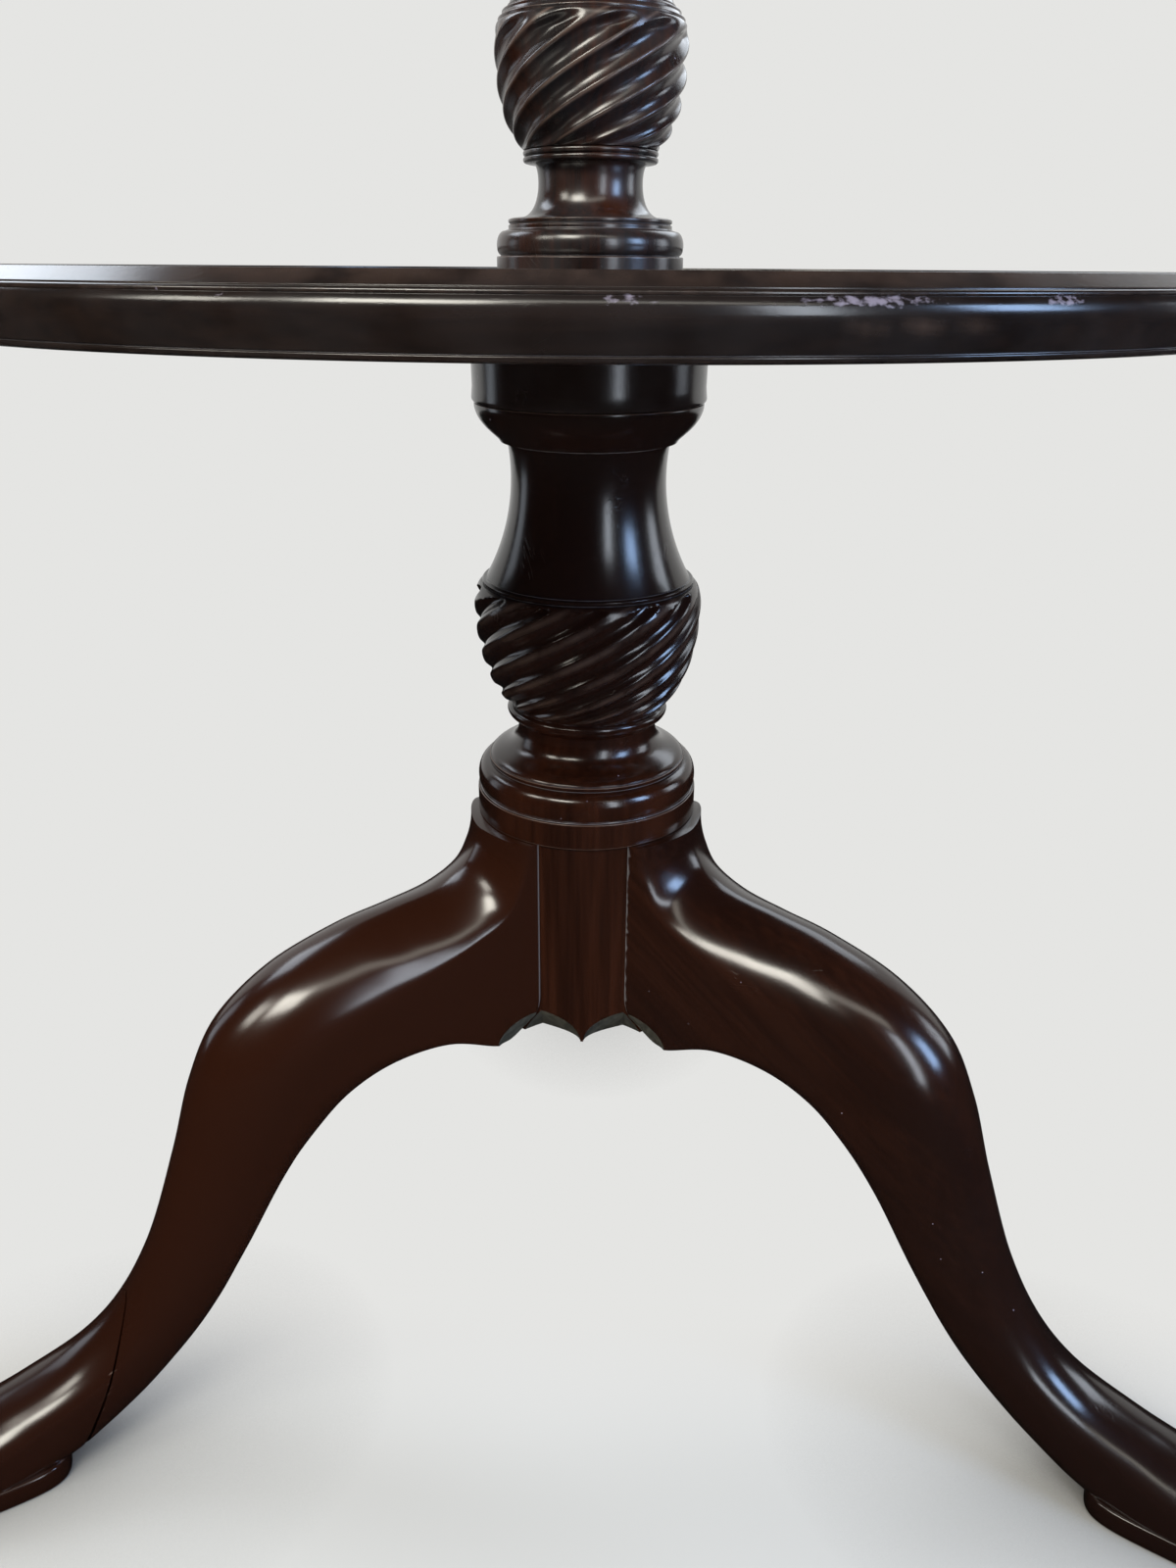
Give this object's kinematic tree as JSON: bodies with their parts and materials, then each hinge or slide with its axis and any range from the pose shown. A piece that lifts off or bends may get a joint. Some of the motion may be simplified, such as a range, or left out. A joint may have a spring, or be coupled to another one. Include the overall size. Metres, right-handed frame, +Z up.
{
  "type": "dumbwaiter stand",
  "caption": "Tiered dumbwaiter stand: dished round trays that revolve on turned stems with spiral-fluted urns, over a tripod of cabriole legs with pad feet.",
  "frame": {"origin": "on the axis of the stems, at the floor", "axes": "+Z up along the stems, -Y to the front between the two front legs"},
  "size_m": [0.6068, 0.5961, 1.038],
  "materials": {
    "dark_mahogany": "polished, nearly black",
    "red_mahogany": "polished, dark red-brown",
    "screw_iron": "dull"
  },
  "bodies": {
    "stand": {"base_column": "red_mahogany", "leg_front_left": "red_mahogany", "leg_front_left_foot": "red_mahogany", "leg_front_right": "red_mahogany", "leg_back": "red_mahogany", "middle_stem": "dark_mahogany", "upper_stem": "dark_mahogany"},
    "lower_tier": {"lower_tray": "dark_mahogany", "lower_boss": "dark_mahogany", "lower_boss_screw_1": "screw_iron", "lower_boss_screw_2": "screw_iron", "lower_boss_screw_3": "screw_iron"},
    "middle_tier": {"middle_tray": "dark_mahogany", "middle_boss": "dark_mahogany", "middle_boss_screw_1": "screw_iron", "middle_boss_screw_2": "screw_iron", "middle_boss_screw_3": "screw_iron"},
    "top_tier": {"top_tray": "dark_mahogany", "top_boss": "dark_mahogany", "top_boss_screw_1": "screw_iron", "top_boss_screw_2": "screw_iron", "top_boss_screw_3": "screw_iron"}
  },
  "joints": [
    {"name": "lower_tier_turn", "type": "hinge", "parent": "stand", "child": "lower_tier", "pos_m": [0, 0, 0.45], "axis": [0, 0, 1], "continuous": true},
    {"name": "middle_tier_turn", "type": "hinge", "parent": "stand", "child": "middle_tier", "pos_m": [0, 0, 0.741], "axis": [0, 0, 1], "continuous": true},
    {"name": "top_tier_turn", "type": "hinge", "parent": "stand", "child": "top_tier", "pos_m": [0, 0, 0.998], "axis": [0, 0, 1], "continuous": true}
  ]
}
